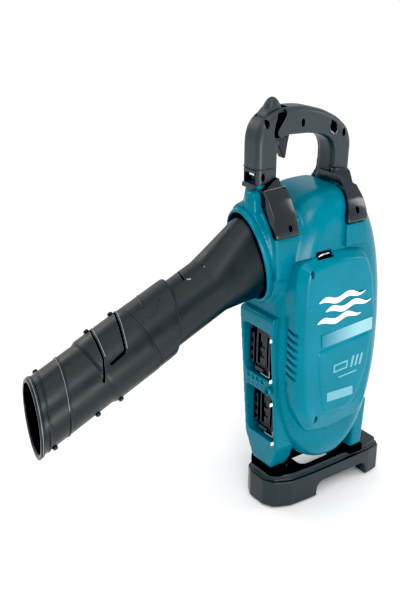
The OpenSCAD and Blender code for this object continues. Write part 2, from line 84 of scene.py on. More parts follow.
def loft(rings, closed=False):
    """A solid through rings with equal numbers of points; ends are capped unless closed."""
    n = len(rings[0])
    verts = [p for ring in rings for p in ring]
    faces = []
    spans = len(rings) if closed else len(rings) - 1
    for k in range(spans):
        a, b = k * n, ((k + 1) % len(rings)) * n
        for i in range(n):
            j = (i + 1) % n
            faces.append([a + i, a + j, b + j, b + i])
    if not closed:
        faces.append(list(range(n))[::-1])
        faces.append([len(verts) - n + i for i in range(n)])
    return verts, faces


def prism(axis, plan, lo, hi):
    return loft([[at_axis(axis, a, b, h) for a, b in plan] for h in (lo, hi)])


def box(x0, x1, y0, y1, z0, z1):
    return prism("z", [(x0, y0), (x1, y0), (x1, y1), (x0, y1)], z0, z1)


def soften(plan, radius):
    """Rounds each corner of a plan with a quadratic arc that starts at most radius away from it."""
    share = 0.48  # of a side, so that the arcs at its two ends stay apart
    out = []
    n = len(plan)
    for i in range(n):
        p, c, q = (Vector(plan[(i + k - 1) % n]) for k in range(3))
        a = c + (p - c).normalized() * min(radius, (p - c).length * share)
        b = c + (q - c).normalized() * min(radius, (q - c).length * share)
        for t in (0, 0.25, 0.5, 0.75, 1):
            s = a * (1 - t) ** 2 + c * 2 * t * (1 - t) + b * t * t
            out.append((s.x, s.y))
    return out


def shrink(plan, d):
    """Moves each point of a plan inwards by d along its normal."""
    area = sum(a[0] * b[1] - b[0] * a[1] for a, b in zip(plan, plan[1:] + plan[:1]))
    side = 1 if area > 0 else -1
    out = []
    n = len(plan)
    for i in range(n):
        p, q = Vector(plan[i - 1]), Vector(plan[(i + 1) % n])
        t = (q - p).normalized()
        out.append((plan[i][0] - side * t.y * d, plan[i][1] + side * t.x * d))
    return out


def round_slab(axis, plan, lo, hi, edge, steps=5, inset=None):
    """A slab whose two rims are rounded with the given edge radius (inset may differ from the depth)."""
    inset = edge if inset is None else inset
    rings = []
    for end, inner in ((lo, 1), (hi, -1)):
        part = []
        for k in range(steps + 1):
            a = math.pi / 2 * k / steps
            h = end + inner * edge * (1 - math.sin(a))
            part.append([at_axis(axis, x, y, h) for x, y in shrink(plan, inset * (1 - math.cos(a)))])
        rings += part[::-1] if inner == 1 else part
    return loft(rings)


def ellipse(a, b, n=72, cx=0.0, cy=0.0):
    return [
        (cx + a * math.cos(TURN * i / n), cy + b * math.sin(TURN * i / n))
        for i in range(n)
    ]


def bar(axis, centre, r, lo, hi, n=40, r2=None):
    """A round bar (or an oval one with r2) along an axis."""
    return prism(axis, ellipse(r, r2 or r, n, *centre), lo, hi)


def evaluated(obj):
    """Applies an object's modifiers."""
    bpy.context.view_layer.update()
    depsgraph = bpy.context.evaluated_depsgraph_get()
    mesh = bpy.data.meshes.new_from_object(obj.evaluated_get(depsgraph))
    obj.modifiers.clear()
    obj.data = mesh
    mesh.name = obj.name
    return obj


def remesh(obj, voxel, passes):
    """Voxel union of everything in the object, then smoothed so that its edges read as moulded radii."""
    union = obj.modifiers.new("union", "REMESH")
    union.mode = "VOXEL"
    union.voxel_size = voxel * FINE * MM
    union.use_smooth_shade = True
    if passes:
        smooth = obj.modifiers.new("smooth", "SMOOTH")
        smooth.factor = 0.5
        smooth.iterations = passes
    return evaluated(obj)


def cut(obj, *solids):
    """Takes solids away from an object, one at a time."""
    for solid in solids:
        tool = solid if isinstance(solid, bpy.types.Object) else mesh_object("tool", [solid], False)
        boolean = obj.modifiers.new("cut", "BOOLEAN")
        boolean.operation = "DIFFERENCE"
        boolean.solver = "EXACT"
        boolean.object = tool
        evaluated(obj)
        bpy.data.objects.remove(tool)
    return obj


def crisp(obj, angle=35):
    """Smooth shading with sharp edges where faces meet at more than the angle."""
    bm = bmesh.new()
    bm.from_mesh(obj.data)
    for f in bm.faces:
        f.smooth = True
    for e in bm.edges:
        e.smooth = len(e.link_faces) == 2 and e.calc_face_angle(0) < math.radians(angle)
    bm.to_mesh(obj.data)
    bm.free()
    return obj


def bevelled(name, solids, width):
    """An object with its sharp edges bevelled."""
    obj = mesh_object(name, solids)
    bevel = obj.modifiers.new("bevel", "BEVEL")
    bevel.width = width * MM
    bevel.segments = 2
    bevel.limit_method = "ANGLE"
    bevel.angle_limit = math.radians(30)
    return crisp(evaluated(obj))


def from_node(name, node):
    """A new object with a copy of a CAD node's mesh, its vertices joined."""
    bm = bmesh.new()
    bm.from_mesh(NODES[node].data)
    bmesh.ops.remove_doubles(bm, verts=bm.verts, dist=1e-6)
    mesh = bpy.data.meshes.new(name)
    bm.to_mesh(mesh)
    bm.free()
    obj = bpy.data.objects.new(name, mesh)
    bpy.context.scene.collection.objects.link(obj)
    return obj


def hull(points):
    """The convex hull of points, as a solid."""
    bm = bmesh.new()
    for p in points:
        bm.verts.new(p)
    made = bmesh.ops.convex_hull(bm, input=bm.verts)
    inside = [v for v in made["geom_interior"] if isinstance(v, bmesh.types.BMVert)]
    bmesh.ops.delete(bm, geom=inside, context="VERTS")
    bm.verts.index_update()
    verts = [tuple(v.co) for v in bm.verts]
    faces = [[v.index for v in f.verts] for f in bm.faces]
    bm.free()
    return verts, faces


def rod(start, end, low, high):
    """A straight bar of rectangular section between two points; low and high are the section's corners."""
    corners = [(x, y, z) for x in (low[0], high[0]) for y in (low[1], high[1]) for z in (low[2], high[2])]
    return hull([tuple(e + c for e, c in zip(point, corner)) for point in (start, end) for corner in corners])


# ---- materials ----


class Nodes:
    """Small builder for one material's node tree."""

    def __init__(self, name):
        self.mat = bpy.data.materials.new(name)
        self.mat.use_nodes = True
        self.tree = self.mat.node_tree
        self.shader = self.tree.nodes["Principled BSDF"]
        self.coord = self.add("ShaderNodeTexCoord").outputs["Object"]

    def add(self, kind, **props):
        node = self.tree.nodes.new(kind)
        for k, v in props.items():
            setattr(node, k, v)
        return node

    def link(self, a, b):
        self.tree.links.new(a, b)

    def noise(self, scale, detail=3.0, stretch=None):
        n = self.add("ShaderNodeTexNoise")
        n.inputs["Scale"].default_value = scale
        n.inputs["Detail"].default_value = detail
        if stretch:
            m = self.add("ShaderNodeMapping")
            m.inputs["Scale"].default_value = stretch
            self.link(self.coord, m.inputs["Vector"])
            self.link(m.outputs[0], n.inputs["Vector"])
        else:
            self.link(self.coord, n.inputs["Vector"])
        return n.outputs["Fac"]

    def span(self, value, a, b, c, d):
        m = self.add("ShaderNodeMapRange")
        for i, v in enumerate((a, b, c, d)):
            m.inputs[i + 1].default_value = v
        self.link(value, m.inputs[0])
        return m.outputs[0]

    def mix(self, fac, a, b):
        """Mixes two colours, each a tuple or a socket; a Mix node's colour sockets are 6, 7 and output 2."""
        m = self.add("ShaderNodeMix", data_type="RGBA")
        self.link(fac, m.inputs[0])
        for socket, v in ((m.inputs[6], a), (m.inputs[7], b)):
            if isinstance(v, tuple):
                socket.default_value = v
            else:
                self.link(v, socket)
        return m.outputs[2]

    def edge(self, lo, hi):
        g = self.add("ShaderNodeNewGeometry")
        return self.span(g.outputs["Pointiness"], lo, hi, 0.0, 1.0)

    def bump(self, height, strength, distance):
        b = self.add("ShaderNodeBump")
        b.inputs["Strength"].default_value = strength
        b.inputs["Distance"].default_value = distance
        self.link(height, b.inputs["Height"])
        self.link(b.outputs[0], self.shader.inputs["Normal"])


def shade(c, k):
    return (min(1, c[0] * k), min(1, c[1] * k), min(1, c[2] * k), 1.0)


def plastic(name, color, rough, grain=0.25, scale=1800.0, wear=0.35, spec=0.4, spread=0.06, fade=None):
    """Moulded plastic: faint mottling, worn lighter edges, uneven gloss and a fine moulded grain.

    A fade (x in metres, x in metres, colour) turns into the colour towards the first x.
    """
    n = Nodes(name)
    mottle = n.span(n.noise(26.0, 4.0), 0.35, 0.65, 0.0, 1.0)
    base = n.mix(mottle, shade(color, 0.93), shade(color, 1.06))
    worn = n.mix(n.edge(0.53, 0.62), base, shade(color, 1.0 + wear))
    if fade:
        split = n.add("ShaderNodeSeparateXYZ")
        n.link(n.coord, split.inputs[0])
        worn = n.mix(n.span(split.outputs[0], fade[0], fade[1], 0.0, 1.0), fade[2], worn)
    n.link(worn, n.shader.inputs["Base Color"])
    gloss = n.span(n.noise(70.0, 5.0), 0.3, 0.7, rough - spread, rough + spread)
    n.link(gloss, n.shader.inputs["Roughness"])
    n.shader.inputs["IOR"].default_value = 1.5
    n.shader.inputs["Specular IOR Level"].default_value = spec
    n.bump(n.noise(scale, 2.0), grain, 0.00012)
    return n.mat


def metal(name, color, rough, stretch=(1, 1, 1), dark=0.75):
    """Machined metal: streaks along the tool marks and uneven gloss."""
    n = Nodes(name)
    streak = n.noise(420.0, 4.0, stretch)
    tint = n.mix(n.span(streak, 0.3, 0.7, 0.0, 1.0), shade(color, dark), shade(color, 1.05))
    n.link(tint, n.shader.inputs["Base Color"])
    n.link(n.span(streak, 0.3, 0.7, rough * 0.7, rough * 1.3), n.shader.inputs["Roughness"])
    n.shader.inputs["Metallic"].default_value = 1.0
    n.bump(streak, 0.15, 0.0001)
    return n.mat


# plastic: colour, roughness, grain strength, grain scale, wear, specular, spread of the roughness
# metal: colour, roughness, stretch of the streaks
MAT = {
    "teal_housing": plastic("teal_housing", (0.001, 0.142, 0.200), 0.27, 0.012, 700.0, 0.12, 0.26, 0.03),
    "teal_cover": plastic("teal_cover", (0.001, 0.160, 0.224), 0.25, 0.012, 700.0, 0.12, 0.28, 0.03),
    "tube_black": plastic("tube_black", (0.008, 0.0095, 0.0105), 0.36, 0.30, 1500.0, 0.8),
    "handle_grey": plastic("handle_grey", (0.028, 0.033, 0.036), 0.36, 0.9, 1300.0, 0.5),
    "strap_black": plastic("strap_black", (0.010, 0.011, 0.013), 0.17, 0.05, 900.0, 0.5, 0.6, 0.04),
    "black_plastic": plastic("black_plastic", (0.018, 0.019, 0.021), 0.42, 0.4, 1500.0, 0.6),
    "stand_grey": plastic("stand_grey", (0.019, 0.022, 0.024), 0.34, 0.5, 1400.0, 0.6),
    "rubber": plastic("rubber", (0.012, 0.012, 0.013), 0.75, 0.8, 1100.0, 0.3),
    "terminal_plastic": plastic("terminal_plastic", (0.020, 0.018, 0.017), 0.45, 0.3, 1500.0, 0.6),
    "brass_blade": metal("brass_blade", (0.72, 0.50, 0.20), 0.30, (1, 8, 1)),
    "steel": metal("steel", (0.55, 0.56, 0.58), 0.32, (1, 10, 1)),
    "dark_steel": metal("dark_steel", (0.07, 0.07, 0.075), 0.38, (1, 6, 1)),
    "bright_steel": metal("bright_steel", (0.80, 0.80, 0.82), 0.16, (8, 1, 1)),
    "can_metal": metal("can_metal", (0.60, 0.61, 0.63), 0.36, (1, 12, 1)),
    "winding": metal("winding", (0.45, 0.20, 0.08), 0.40, (1, 10, 1)),
    "fan_plastic": plastic("fan_plastic", (0.60, 0.60, 0.58), 0.42, 0.3, 1400.0, 0.2),
    "board_green": plastic("board_green", (0.012, 0.110, 0.045), 0.30, 0.1, 600.0, 0.3),
}
PALE = plastic("pale_print", (0.13, 0.36, 0.43), 0.35, 0.03, 900.0, 0.05)
# white for the prints, and for the dots painted as glints on the column
PRINT_AND_GLINT_WHITE = plastic("white_print_and_glint", (0.86, 0.88, 0.88), 0.38, 0.03, 900.0, 0.05)
COVER_TEAL = (0.001, 0.166, 0.232, 1)
FADE = plastic("fading_print", (0.24, 0.46, 0.52), 0.35, 0.03, 900.0, 0.05, fade=(-0.056, -0.004, COVER_TEAL))
# light grey painted highlight, laid as thin strips along edges, rims and arcs
PAINTED_HIGHLIGHT = plastic("edge_sheen", (0.30, 0.31, 0.32), 0.30, 0.05, 900.0, 0.1)
# near-black painted shade, put in the bore, beside the arcs, in holes, gaps and pockets and under the housing
PAINTED_SHADE = plastic("shadow_black", (0.002, 0.002, 0.002), 0.8, 0.3, 900.0, 0.1, 0.05)

SLOT_OF = {p["node"]: p["material_slot"] for p in frame["record"]["subparts"]}
for node_name, node_obj in NODES.items():
    cad_mesh = node_obj.data
    cad_mesh.materials.clear()
    cad_mesh.materials.append(MAT[SLOT_OF[node_name]])
    cad_mesh.set_sharp_from_angle(angle=math.radians(30))
    for poly in cad_mesh.polygons:
        poly.use_smooth = True


def piece(obj, body, slot, nodes=(), material=None):
    """Gives a piece its material, the body it rides on and the CAD nodes it stands for."""
    obj.data.materials.clear()
    obj.data.materials.append(material or MAT[slot])
    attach(obj, body)
    if nodes:
        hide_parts(*nodes)
    return obj

# ---- shared sizes, as in the CAD ----

AXIS_X, AXIS_Z = -16.0, 206.0
# the scroll's reach behind, in front of, above and below the impeller's axis
SCROLL_BACK, SCROLL_FRONT = 73.0, 76.0
SCROLL_TOP, SCROLL_BOTTOM = 182.0, 152.0
SCROLL_HALF, SCROLL_RIM = 50.0, 30.0
# powers of the scroll's superellipse, above the outlet and elsewhere
SQUARER, ROUNDER = 3.6, 2.15
COLLAR = Vector((-111.0, 0.0, 320.0))
COLLAR_A, COLLAR_B = 52.0, 29.0
PITCH = math.radians(23.4)
TILT = math.radians(15)
YAW = math.radians(12)
TUBE_AXIS = Vector((-math.cos(PITCH), 0, -math.sin(PITCH)))
TUBE_UP = Vector((-math.sin(PITCH), 0, math.cos(PITCH)))
RING_NORMAL = Vector((math.cos(YAW), -math.sin(YAW), 0))
COLLAR_AXIS = Vector((-math.cos(TILT), 0, -math.sin(TILT)))
COLLAR_UP = Vector((-math.sin(TILT), 0, math.cos(TILT)))
SIDE = Vector((0, 1, 0))
# along the tube, ring planes turn square over the rise and lean again over the fall, which ends at SQUARE_TO
SQUARE_FROM, SQUARE_RISE = 112.0, 30.0
SQUARE_TO, SQUARE_FALL = 246.0, 34.0
PIPE_R, SLEEVE_R, NOZZLE_R, TIP_R, BORE_R = 31.0, 35.85, 36.3, 34.4, 31.9
COLUMN_HALF = 29.0
# height of each battery bay's floor and the x of its back wall
BAYS = [(171.0, -74.0), (91.0, -66.0)]
BAY_H, BAY_HALF = 62.0, 24.0
# in front of the column, where cuts through its front start
FAR = 140.0


def signed_pow(v, p):
    return math.copysign(abs(v) ** p, v)


def scroll_point(a, inset):
    """Outline of the scroll at angle a in degrees: a superellipse, squarer above the outlet."""
    p = 2 / (SQUARER if 90 < a < 180 else ROUNDER)
    c, s = math.cos(math.radians(a)), math.sin(math.radians(a))
    rx = (SCROLL_BACK if c > 0 else SCROLL_FRONT) - inset
    rz = (SCROLL_TOP if s > 0 else SCROLL_BOTTOM) - inset
    return (AXIS_X + rx * signed_pow(c, p), AXIS_Z + rz * signed_pow(s, p))


def scroll(inset, n=150, steps=8):
    """The scroll as a solid with rounded rims."""
    half = SCROLL_HALF - inset
    rim = []
    for k in range(steps + 1):
        a = math.pi / 2 * k / steps
        rim.append((half - SCROLL_RIM + SCROLL_RIM * math.sin(a), inset + SCROLL_RIM * (1 - math.cos(a))))
    rings = []
    for y, d in [(-y, d) for y, d in rim[::-1]] + rim[1:]:
        rings.append([(x, y, z) for x, z in (scroll_point(360 * i / n, d) for i in range(n))])
    return loft(rings)


def tube_point(t, r, a):
    """A point at distance t along the tube, radius r and angle a from the tube's top."""
    return COLLAR + TUBE_AXIS * t + TUBE_UP * (r * math.cos(a)) + SIDE * (r * math.sin(a))


def ring_point(t, r, a):
    """A point at radius r and angle a on a ring plane that crosses the tube's axis at t.

    Ring planes are near-vertical at the tube's mouth and at the sleeve's rear edge. They are square to the
    axis where the nozzle turns on the sleeve.
    """
    off = TUBE_UP * (r * math.cos(a)) + SIDE * (r * math.sin(a))
    rise = min(1.0, max(0.0, (t - SQUARE_FROM) / SQUARE_RISE))
    fall = min(1.0, max(0.0, (SQUARE_TO - t) / SQUARE_FALL))
    square = rise * fall
    lean = 1 - square * square * (3 - 2 * square)
    return COLLAR + TUBE_AXIS * (t - lean * RING_NORMAL.dot(off) / RING_NORMAL.dot(TUBE_AXIS)) + off


def collar_point(h, a, b, t, shift=0.0):
    """A point of an ellipse round the collar's axis at distance h along it."""
    return COLLAR + COLLAR_AXIS * h + COLLAR_UP * (a * math.cos(t)) + SIDE * (b * math.sin(t) + shift)


def turned(rings_of, n=160):
    """A closed skin swept round from point functions, one for each profile corner."""
    rings = [[tuple(f(TURN * i / n)) for i in range(n)] for f in rings_of]
    return loft(rings, closed=True)


# ---- housing ----

# sections of the two stubs that carry the handle's legs: height, x from and to, y from and to
FRONT_NECK = [
    (400, -111, -86, -13, 13),
    (393, -112, -83, -18, 16),
    (384, -112, -80, -24, 18),
    (369, -110, -75, -33, 22),
    (354, -109, -69, -38.5, 27),
    (342, -107, -66, -40, 30),
    (300, -104, -66, -40, 30),
]
REAR_NECK = [
    (400, -9, 16, -13, 13),
    (386, -11, 12, -25, 18),
    (371, -13, 8, -37, 26),
    (359, -15, 5, -45, 34),
    (348, -16, 3, -48, 40),
    (310, -16, 3, -48, 44),
]


def neck(sections):
    rings = []
    for z, x0, x1, y0, y1 in sections:
        plan = soften([(x0, y0), (x1, y0), (x1, y1), (x0 + 9, y1), (x0, y1 - 9)], 3)
        rings.append([(x, y, z) for x, y in plan])
    return loft(rings)


def throat(inset, n=60):
    """The passage from the scroll to the collar, as a hull from the collar's ellipse to a softened square."""
    points = []
    for h in (-16.0, -3.0):
        for i in range(n):
            a, b = COLLAR_A + 9 - inset, COLLAR_B + 4.5 - inset
            points.append(tuple(collar_point(h, a, b, TURN * i / n, -1.5)))
    half, low, high = 38 - inset, 262 + inset, 370 - inset
    for x in (-72.0, -62.0):
        for y, z in soften([(-half, low), (half, low), (half, high), (-half, high)], 22):
            points.append((x, y, z))
    return hull(points)


def collar_bore(start, end, n=60):
    angles = [TURN * i / n for i in range(n)]
    return loft([[tuple(collar_point(h, COLLAR_A, COLLAR_B, a)) for a in angles] for h in (start, end)])


HINGE_EAR = [(38, 38), (50, 36), (49, 60), (39, 60)]
housing = mesh_object("housing_shell", [
    scroll(0),
    throat(0),
    neck(FRONT_NECK),
    neck(REAR_NECK),
    round_slab("x", soften([(-36, 50), (36, 50), (40, 120), (-40, 120)], 6), 26, 44, 3),
    # the seat round the intake eye, the seat of the grille's knob and the grille's two hinge ears
    bar("y", (AXIS_X, AXIS_Z), 55, 36, 50, 96),
    round_slab("y", ellipse(11, 11, 40, AXIS_X, 146), 44, 50, 1),
    prism("z", HINGE_EAR, 182, 190),
    prism("z", HINGE_EAR, 222, 230),
])
remesh(housing, 1.5, 7)
inner = mesh_object("inner", [
    scroll(3.0),
    throat(3.5),
    bar("y", (AXIS_X, AXIS_Z), 46, 20, 70, 96),
    collar_bore(-40.0, 12.0),
])
remesh(inner, 2.0, 0)
LOUVRE_COUNT, LOUVRE_TOP, LOUVRE_STEP = 7, 243, 8.9
LOUVRES = []
for i in range(LOUVRE_COUNT):
    z = LOUVRE_TOP - LOUVRE_STEP * i
    LOUVRES.append(prism("x", [(-39, z + 2), (-39, z - 2), (-68, z - 10), (-68, z - 6)], -112, -83.4))
cut(
    housing,
    inner,
    prism("y", [(-130, 252.2), (-130, 20), (-56, 20), (-56, 252.2)], -COLUMN_HALF - 0.2, COLUMN_HALF + 0.2),
    bar("y", (AXIS_X, AXIS_Z), 27, -60, -40, 64),
    box(29, 41, -33, 33, 54, 110),
    box(-60, -39, -58, -43.5, 320, 327.5),
    *LOUVRES,
)
piece(crisp(housing, 40), "housing", "teal_housing", ("housing_left", "housing_right"))

pad_plan = soften([(-21.5, 327), (10, 327), (6, 352), (-21.5, 352)], 2)
pad = mesh_object("strap_pad", [round_slab("y", pad_plan, -54.4, -40, 1.2)])
piece(crisp(pad), "housing", "teal_housing")

# ---- collar ----

# corners of the collar's section: along its axis, and outwards from the ellipse's long and short radius
COLLAR_PROFILE = [
    (-13.5, 4.4, 0.6), (-13.5, 0.2, 0.2), (1.0, 0.2, 0.2), (2.6, 1.4, 1.0),
    (3.0, 2.6, 1.6), (2.4, 4.2, 2.4), (0.6, 5.0, 2.8), (-6.0, 5.0, 2.8),
]


def collar_corner(h, a, b):
    """One corner of the collar's section, as a function of the angle; outer ones lie a little towards -Y."""
    shift = -1.2 * min(1.0, b / 2.8)
    return lambda t: collar_point(h, COLLAR_A + a, COLLAR_B + b, t, shift)


collar = mesh_object("collar_ring", [turned([collar_corner(*corner) for corner in COLLAR_PROFILE])])
piece(crisp(collar, 50), "housing", "teal_housing", ("outlet_collar",))
boss_plan = soften([(-21, 370), (-1, 368), (-1.5, 389), (-5, 393.5), (-16, 394.5), (-19, 390)], 5)
boss = mesh_object("collar_boss", [
    round_slab("x", boss_plan, -121, -104, 2.5),
    round_slab("x", ellipse(6.2, 9.5, 40, -10.5, 379), -123, -112, 2),
])
piece(remesh(boss, 1.0, 4), "housing", "teal_housing")

# ---- battery column ----

COLUMN_SIDE = [
    (-99, 249), (-96, 252), (-70, 252), (-70, 168), (-58, 164), (-58, 66), (-66, 50), (-81, 50), (-85, 54),
]
COLUMN_FOOT = [(-84, 66), (-56, 66), (-62, 50), (-80, 50)]
column = mesh_object("battery_column", [
    prism("y", soften(plan, 4), -COLUMN_HALF, COLUMN_HALF) for plan in (COLUMN_SIDE, COLUMN_FOOT)
])
remesh(column, 1.0, 6)
for side in (-1, 1):
    flank = [(side * y, z) for y, z in ((13, 45), (29.6, 88), (40, 88), (40, 40), (13, 40))]
    cut(column, prism("x", flank, -130, -40))
for z, x in BAYS:
    bay = [(-BAY_HALF, z), (BAY_HALF, z), (BAY_HALF, z + BAY_H), (-BAY_HALF, z + BAY_H)]
    cut(column, prism("x", soften(bay, 6), -FAR, x))
remesh(column, 0.85, 4)
recesses = []
for z in (166.4, 157.2):
    for i in range(4):
        y = 17 - 8.2 * i
        recesses.append(box(-FAR, -92, y - 2.5, y + 2.5, z - 2.7, z + 2.7))
boss_y, boss_z = -22, 162
cut(column, mesh_object("recesses", recesses, False), bar("x", (boss_y, boss_z), 2.5, -FAR, -80, 32))
piece(crisp(column, 42), "housing", "teal_housing", ("battery_holder",))
BOSS_PROFILE = ((-95, 4.6), (-98.2, 4.4), (-99.0, 3.8), (-98.6, 3.0), (-95, 2.8))
boss_rings = []
for x, r in BOSS_PROFILE:
    angles = [TURN * i / 40 for i in range(40)]
    boss_rings.append([(x, boss_y + r * math.cos(a), boss_z + r * math.sin(a)) for a in angles])
ring = mesh_object("column_boss", [loft(boss_rings, closed=True)])
piece(crisp(ring, 50), "housing", "teal_housing")
# small white dots painted as glints along the bays' near edge
glint_dots = []
for y, z, x in ((-26.6, 226, -98.9), (-26.8, 176, -98.0), (-26.8, 146, -96.2), (-25.8, 93, -91.8)):
    glint_dots.append(round_slab("x", ellipse(0.9, 2.2, 20, y, z), x - 0.6, x + 3, 0.5))
piece(mesh_object("column_glint_dots", glint_dots), "housing", "teal_housing", material=PRINT_AND_GLINT_WHITE)


def plate(y0, y1, z0, z1, corner, x0, x1, edge):
    """A rounded slab across the column, from its y and z range and its x range."""
    return round_slab("x", soften([(y0, z0), (y1, z0), (y1, z1), (y0, z1)], corner), x0, x1, edge)


def terminal_block(number, node, z, back):
    """The block of slots at the back of one bay, and light strips painted as highlights along the edges of
    its rails.
    """
    x = back - 14
    block = remesh(mesh_object("terminal_housing_%d" % number, [
        plate(-19, 12, z + 4, z + 58, 2, x, back - 0.2, 0.8),
        plate(-19, -15, z + 4, z + 56, 1, x - 4, x + 4, 0.6),
        plate(14, 21, z + 10, z + 48, 1, x - 1, back - 0.2, 0.6),
        plate(-6, 10, z + 4, z + 10, 1, x - 3, x + 4, 0.6),
    ]), 0.7, 1)
    slots = [box(x - 9, x + 8, s * 8 - 4.5, s * 8 - 0.5, z + 13, z + 50) for s in (-1, 1)]
    slots += [box(x - 9, x + 2, 15.6, 19.4, z + 14 + 11 * i, z + 18.5 + 11 * i) for i in range(3)]
    slots += [box(x - 9, x + 1, -4, 3, z + 22 + 12 * i, z + 29 + 12 * i) for i in range(2)]
    cut(block, *slots)
    piece(crisp(block), "housing", "terminal_plastic", (node,))
    # light strips painted as highlights along the block's edges
    edges = bevelled("terminal_edge_highlight_%d" % number, [
        box(x - 0.5, x + 0.3, -19.2, 1, z + 57.4, z + 58.3),
        box(x - 4.5, x - 3.8, -19.2, -3, z + 4.2, z + 5.2),
        box(x - 4.5, x - 3.8, -19.2, -18.3, z + 4.2, z + 13),
    ], 0.2)
    piece(edges, "housing", "bright_steel", material=PAINTED_HIGHLIGHT)


for number, (node, (z, back)) in enumerate(zip(("terminal_block_upper", "terminal_block_lower"), BAYS), 1):
    terminal_block(number, node, z, back)

# ---- motor cover ----

COVER = soften([
    (-87, 300), (-83, 319), (-55, 323.5), (-32, 325), (-8, 323.5), (10, 319), (22, 290), (30, 240),
    (31, 180), (22, 128), (12, 112), (-30, 106), (-64, 112), (-80, 140), (-86, 175), (-87, 240),
], 9)
# the face bends away below this height, over this length, by this much
BEND_Z, BEND_LENGTH, BEND_DEPTH = 136, 30, 9.0
FACE_Y, FACE_CROWN = -62.0, 0.9
FACE_X, FACE_Z = -30.0, 218.0


def bend(z):
    return BEND_DEPTH * max(0.0, (BEND_Z - z) / BEND_LENGTH) ** 1.6


def cover_face(y, inset, lift=0.0):
    """One ring of the cover; its lower edge slopes away from the face."""
    return [(x, y + bend(z) * lift, z) for x, z in shrink(COVER, inset)]


cover_rings = [
    cover_face(-28, 0), cover_face(-50.5, 0), cover_face(-51.6, 0.6),
    cover_face(-60.4, 7.0, 0.6), cover_face(-61.5, 8.2, 0.8), cover_face(FACE_Y, 9.8, 1.0),
]
face_edge = [(x, z) for x, y, z in cover_rings[-1]]
for f in (0.85, 0.7, 0.55, 0.4, 0.25, 0.1):
    ring = []
    for x, z in face_edge:
        px, pz = FACE_X + (x - FACE_X) * f, FACE_Z + (z - FACE_Z) * f
        ring.append((px, FACE_Y - FACE_CROWN * (1 - f) + bend(pz), pz))
    cover_rings.append(ring)
SHIELD = [(-61, 216), (-60, 200), (-52, 150), (-47, 137), (-12, 135), (-3, 142), (12, 175), (18, 221)]
cover = mesh_object("cover_shell", [
    loft(cover_rings),
    round_slab("y", soften(SHIELD, 6), -63.7, -58, 0.8, 4, 3.0),
])
remesh(cover, 0.9, 2)
inner_rings = [cover_face(-20, 4), cover_face(-50, 4), cover_face(-57, 9, 1)]
cover_inner = mesh_object("cover_inner", [loft(inner_rings)], False)
cut(
    cover,
    cover_inner,
    bar("y", (-74, 309), 2.2, -80, -56.5, 32, 4.2),
    bar("y", (-57.5, 131), 2.2, -80, -55.0, 32, 4.2),
    bar("y", (8, 118), 1.8, -80, -48.0, 32, 2.6),
    box(-60, -39, -80, -43.5, 320.5, 327),
    *LOUVRES,
)
piece(crisp(cover, 40), "housing", "teal_cover", ("motor_cover",))

PRINT_Y = -62.95
SHIELD_Y = -63.8


def decal(name, plan, y=PRINT_Y, depth=0.6, material=PRINT_AND_GLINT_WHITE):
    """A thin raised print on the cover."""
    obj = mesh_object(name, [round_slab("y", soften(plan, 1.5), y - depth / 2, y + depth / 2, 0.2)])
    return piece(obj, "housing", "teal_cover", material=material)


decal("band_upper", [(-58, 235.5), (17.5, 239.5), (18.5, 224), (-56, 220)], PRINT_Y + 0.2, 0.7, FADE)
decal("band_lower", [(-46, 162.5), (-7, 160.5), (-6, 149), (-45, 151)], SHIELD_Y - 0.1, 0.7, PALE)
decal("cell_mark", [(-38, 195), (-17, 196), (-17, 186), (-38, 185)], SHIELD_Y, 0.6, PALE)
inner_mark = [(-36, 193), (-19, 194), (-19, 188), (-36, 187)]
decal("cell_mark_inner", inner_mark, SHIELD_Y - 0.2, 0.6, MAT["teal_cover"])
for i in range(3):
    x = -13 + 6.5 * i
    bar_plan = [(x, 185), (x + 3.2, 185), (x + 6.2, 199), (x + 3, 199)]
    decal("cell_bar_%d" % (i + 1), bar_plan, SHIELD_Y, 0.6, PALE)
decal("cell_line", [(-30, 178.5), (-2, 179.5), (-2, 177.6), (-30, 176.6)], SHIELD_Y, 0.5, PALE)


def wave_plan(x0, x1, z, steps=16):
    """A wavy stroke that tapers towards both ends."""
    length, height, half = 34.0, 2.2, 3.3
    top, low = [], []
    for i in range(steps + 1):
        x = x0 + (x1 - x0) * i / steps
        wave = math.sin(TURN * (x - x0) / length) * height
        thick = half * min(1.0, (i + 0.6) / 3, (steps + 0.6 - i) / 5)
        top.append((x, z + wave + thick))
        low.append((x, z + wave - thick))
    return top + low[::-1]


for number, (x0, x1, z) in enumerate(((-64, 4, 275), (-54, 13, 263), (-65, -1, 251)), 1):
    decal("emblem_wave_%d" % number, wave_plan(x0, x1, z))

# ---- outlet tube ----


def flare_point(s, a, inset):
    """The section at s, which turns from the collar's ellipse at 0 to the pipe's circle at 1."""
    p = collar_point(-9, COLLAR_A - 0.5 - inset, COLLAR_B - 0.5 - inset, a)
    q = tube_point(57, PIPE_R + 0.1 - inset, a)
    w = s + 0.10 * math.sin(TURN * s)
    return p.lerp(q, s) + (p.lerp(q, w) - p.lerp(q, s)) * 0.45


def flare_ring(s, inset):
    return lambda a: flare_point(s, a, inset)


def tube_ring(t, r):
    return lambda a: tube_point(t, r, a)


flare_steps = [k / 10 for k in range(11)]
PIPE_PROFILE = ((58, 31.0), (112, 31.0), (169.6, 31.0), (170, 30.6), (170, 28.6), (58, 28.5))
pipe_rings = [flare_ring(s, 0) for s in flare_steps]
pipe_rings += [tube_ring(t, r) for t, r in PIPE_PROFILE]
pipe_rings += [flare_ring(s, 2.5) for s in flare_steps[::-1]]
pipe = mesh_object("pipe_shell", [turned(pipe_rings, 200)])
piece(crisp(pipe, 50), "housing", "tube_black", ("outlet_pipe",))


